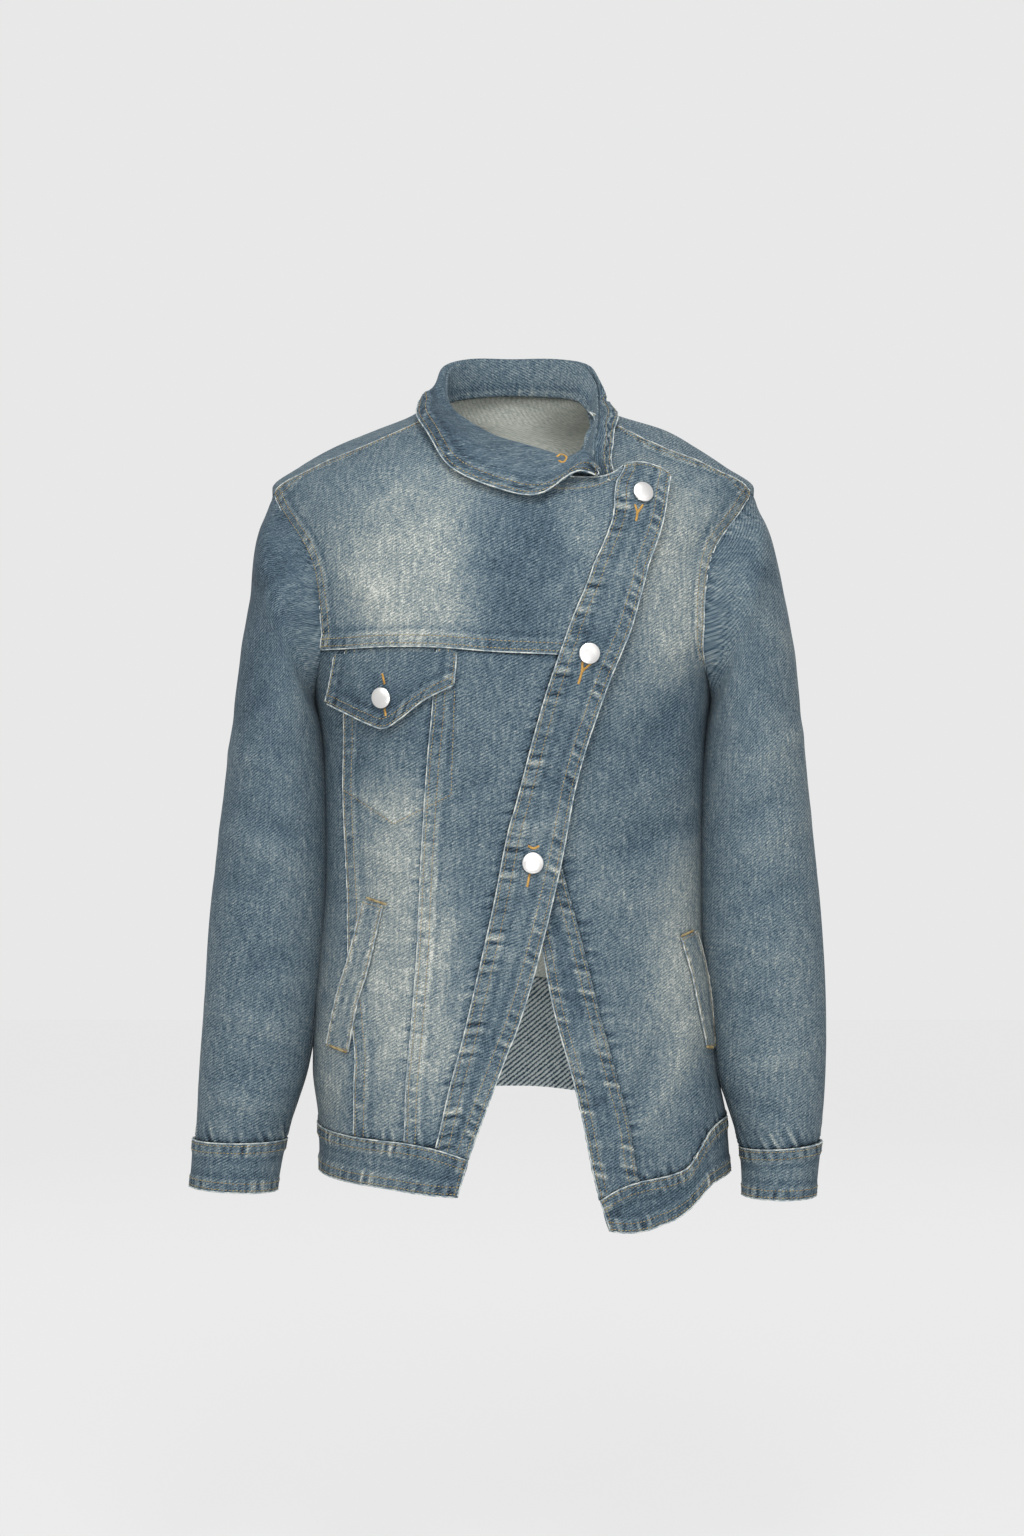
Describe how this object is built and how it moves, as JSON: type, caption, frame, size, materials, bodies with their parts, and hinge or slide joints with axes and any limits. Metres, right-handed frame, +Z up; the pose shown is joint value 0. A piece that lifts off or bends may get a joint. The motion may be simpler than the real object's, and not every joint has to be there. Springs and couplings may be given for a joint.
{
  "type": "denim jacket",
  "caption": "Short denim jacket with long sleeves, a turned-down collar and a slanted overlapping front, filled out as if worn, open at neck, hem and cuffs.",
  "frame": {"origin": "middle of the neck opening, level with the shoulder seams' neck ends, where the wearer's shoulders hold the jacket", "axes": "+Z up along the jacket, -Y towards its front, +X towards the wearer's left"},
  "size_m": [0.5445, 0.2393, 0.7445],
  "materials": {
    "denim": "washed cotton twill, matt",
    "button_metal": "satin"
  },
  "bodies": {
    "root": {"yoke_front_right": "denim", "front_right_side": "denim", "front_right_middle": "denim", "front_right_centre": "denim", "placket_right": "denim", "waistband_front_right": "denim", "pocket_flap": "denim", "welt_right": "denim", "welt_left": "denim", "front_left": "denim", "placket_left": "denim", "waistband_front_left": "denim", "back": "denim", "waistband_back": "denim", "sleeve_right_top": "denim", "sleeve_right_under": "denim", "sleeve_left_top": "denim", "sleeve_left_under": "denim", "cuff_right": "denim", "cuff_left": "denim", "collar_stand": "denim", "collar_leaf": "denim", "button_top": "button_metal", "button_middle": "button_metal", "button_lower": "button_metal", "button_flap": "button_metal"}
  },
  "joints": []
}
